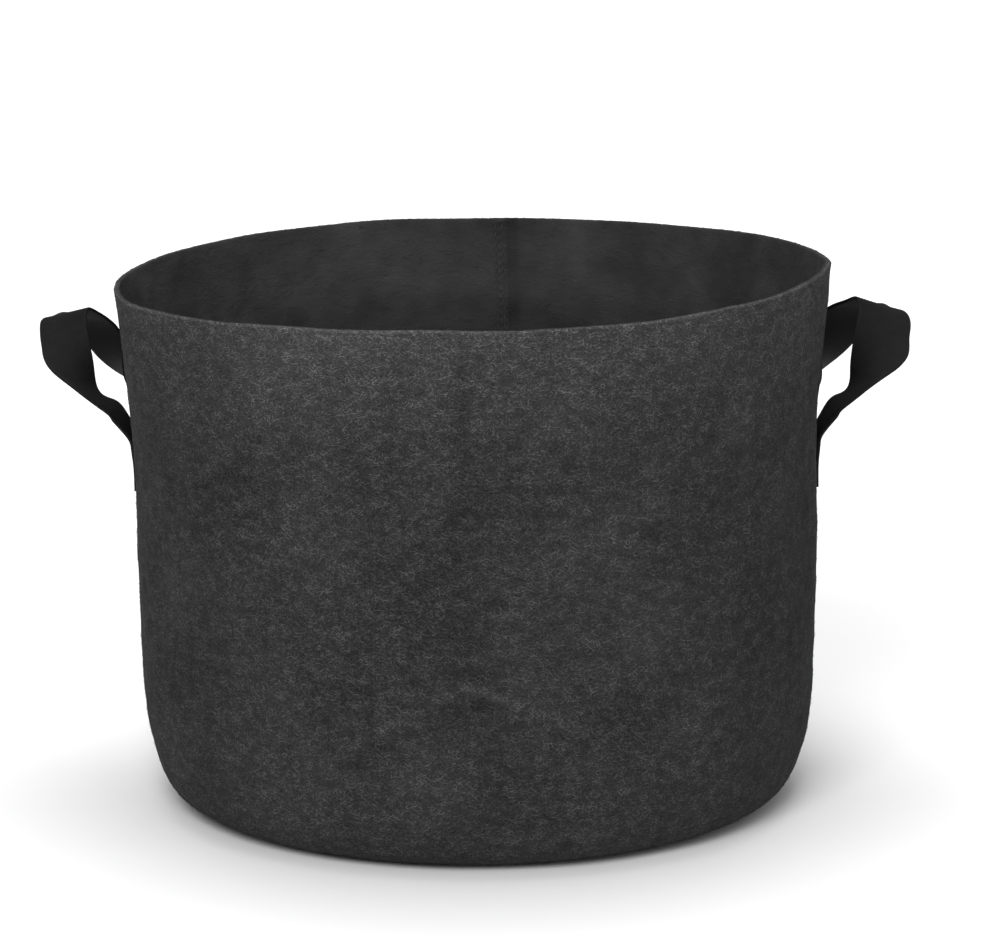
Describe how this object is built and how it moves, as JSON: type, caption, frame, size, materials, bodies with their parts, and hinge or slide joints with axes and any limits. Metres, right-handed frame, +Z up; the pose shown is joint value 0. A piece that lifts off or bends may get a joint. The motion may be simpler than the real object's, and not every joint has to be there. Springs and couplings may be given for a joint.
{
  "type": "fabric grow bag",
  "caption": "Round felt grow bag with a raw cut rim, a sewn-in base and webbing loop handles sewn to its sides.",
  "frame": {"origin": "centre of the underside of the base, on the floor", "axes": "+X towards the right-hand handle side, +Y to the rear where the wall seam is, +Z up"},
  "size_m": [0.498, 0.4, 0.3003],
  "materials": {
    "felt": "matte",
    "webbing": "matte",
    "thread": "satin"
  },
  "bodies": {
    "bag": {"wall_panel": "felt", "base_panel": "felt", "wall_seam_thread_a": "thread", "wall_seam_thread_b": "thread", "base_seam_thread": "thread", "left_front_handle_end": "webbing", "left_rear_handle_end": "webbing", "left_front_box_stitch": "thread", "left_rear_box_stitch": "thread", "right_front_handle_end": "webbing", "right_rear_handle_end": "webbing", "right_front_box_stitch": "thread", "right_rear_box_stitch": "thread"},
    "left_handle": {"left_handle_loop": "webbing"},
    "right_handle": {"right_handle_loop": "webbing"}
  },
  "joints": [
    {"name": "left_handle_swing", "type": "hinge", "parent": "bag", "child": "left_handle", "pos_m": [-0.19206, 0.03594, 0.2122], "axis": [0.184, 0.9829, 0], "range_deg": [-120, 14]},
    {"name": "right_handle_swing", "type": "hinge", "parent": "bag", "child": "right_handle", "pos_m": [0.19206, 0.03594, 0.2122], "axis": [0.184, -0.9829, 0], "range_deg": [-120, 14]}
  ]
}
